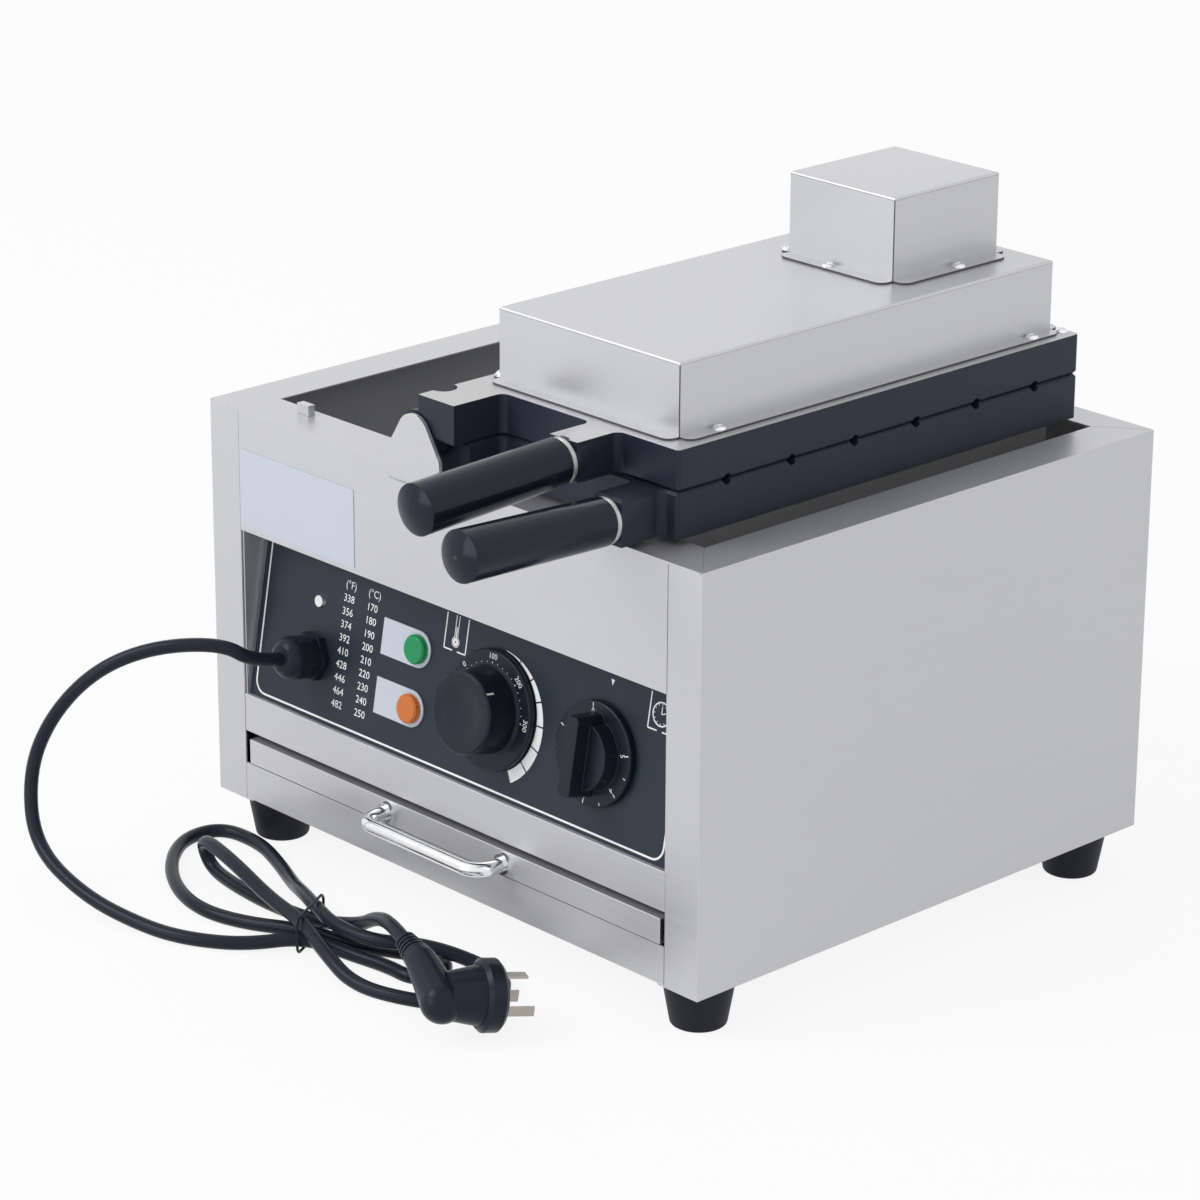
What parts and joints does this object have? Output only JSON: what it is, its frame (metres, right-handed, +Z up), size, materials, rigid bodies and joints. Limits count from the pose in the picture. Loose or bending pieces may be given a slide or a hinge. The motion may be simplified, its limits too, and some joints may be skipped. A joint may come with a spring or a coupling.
{
  "type": "waffle stick maker",
  "caption": "Countertop waffle stick maker: two hinged, flip-over mould plates with stick cavities over a steel cabinet with a control panel, drip drawer, feet and a coiled mains cord.",
  "frame": {"origin": "on the floor, in the middle of the object's box without the cord and plug", "axes": "+X along the front to the right, +Y to the back, +Z up"},
  "size_m": [0.4263, 0.4862, 0.408],
  "materials": {
    "stainless": "satin sheet",
    "bright_screws": "bright",
    "polished_steel": "polished",
    "coated_casting": "dark non-stick coat",
    "element_sheath": "dull",
    "black_grip": "semi-gloss moulded",
    "black_fitting": "moulded",
    "foot_rubber": "matt",
    "black_panel": "satin black",
    "white_plate": "printed film, left bare",
    "orange_lens": "lens",
    "green_lens": "lens",
    "terminal_plastic": "moulded",
    "cord_sheath": "satin sheath",
    "tie_wire": "coated wire",
    "plug_metal": "plated"
  },
  "bodies": {
    "cabinet": {"side_panel_left": "stainless", "side_panel_right": "stainless", "front_panel": "stainless", "rear_panel": "stainless", "base_pan": "stainless", "front_sill": "stainless", "recess_cheeks": "stainless", "control_panel": "black_panel", "control_shield": "stainless", "panel_screw": "bright_screws", "rating_plate": "white_plate", "foot_front_left": "foot_rubber", "foot_front_right": "foot_rubber", "foot_rear_left": "foot_rubber", "foot_rear_right": "foot_rubber", "foot_screws": "bright_screws", "front_bracket": "stainless", "rear_bracket": "stainless", "bracket_bolts": "bright_screws", "front_hinge_pin": "polished_steel", "rear_hinge_pin": "polished_steel", "rest_pads": "stainless", "thermostat_body": "black_fitting", "timer_body": "black_fitting", "lamp_plates": "white_plate", "heat_lamp": "orange_lens", "power_lamp": "green_lens", "gland_body": "black_fitting", "gland_locknut": "black_fitting", "gland_cap": "black_fitting", "terminal_block": "terminal_plastic", "drawer_runners": "stainless", "cord": "cord_sheath", "cord_tie": "tie_wire", "plug_body": "black_fitting", "plug_pins": "plug_metal"},
    "lower_mould": {"lower_plate": "coated_casting", "lower_cover": "stainless", "lower_wiring_box": "stainless", "lower_cover_screws": "bright_screws", "lower_element": "element_sheath", "lower_handle_rod": "polished_steel", "lower_handle_collar": "polished_steel", "lower_grip": "black_grip"},
    "upper_mould": {"upper_plate": "coated_casting", "upper_cover": "stainless", "upper_wiring_box": "stainless", "upper_cover_screws": "bright_screws", "upper_element": "element_sheath", "upper_handle_rod": "polished_steel", "upper_handle_collar": "polished_steel", "upper_grip": "black_grip"},
    "drawer": {"drawer_front": "stainless", "drawer_tray": "stainless", "drawer_pull": "polished_steel"},
    "temperature_knob": {"temperature_knob": "black_grip", "temperature_spindle": "polished_steel"},
    "timer_knob": {"timer_knob": "black_grip", "timer_spindle": "polished_steel"}
  },
  "joints": [
    {"name": "flip", "type": "hinge", "parent": "cabinet", "child": "lower_mould", "pos_m": [0, 0, 0.2964], "axis": [0, -1, 0], "range_deg": [0, 180]},
    {"name": "open", "type": "hinge", "parent": "lower_mould", "child": "upper_mould", "pos_m": [0, 0, 0.2964], "axis": [0, -1, 0], "range_deg": [0, 180]},
    {"name": "drawer_slide", "type": "slide", "parent": "cabinet", "child": "drawer", "axis": [0, -1, 0], "range_m": [0, 0.25]},
    {"name": "temperature_turn", "type": "hinge", "parent": "cabinet", "child": "temperature_knob", "pos_m": [0.0286, -0.10745, 0.1405], "axis": [0, -0.985, 0.1724], "range_deg": [-280, 0]},
    {"name": "timer_turn", "type": "hinge", "parent": "cabinet", "child": "timer_knob", "pos_m": [0.1117, -0.10758, 0.13971], "axis": [0, -0.985, 0.1724], "range_deg": [-300, 0]}
  ]
}
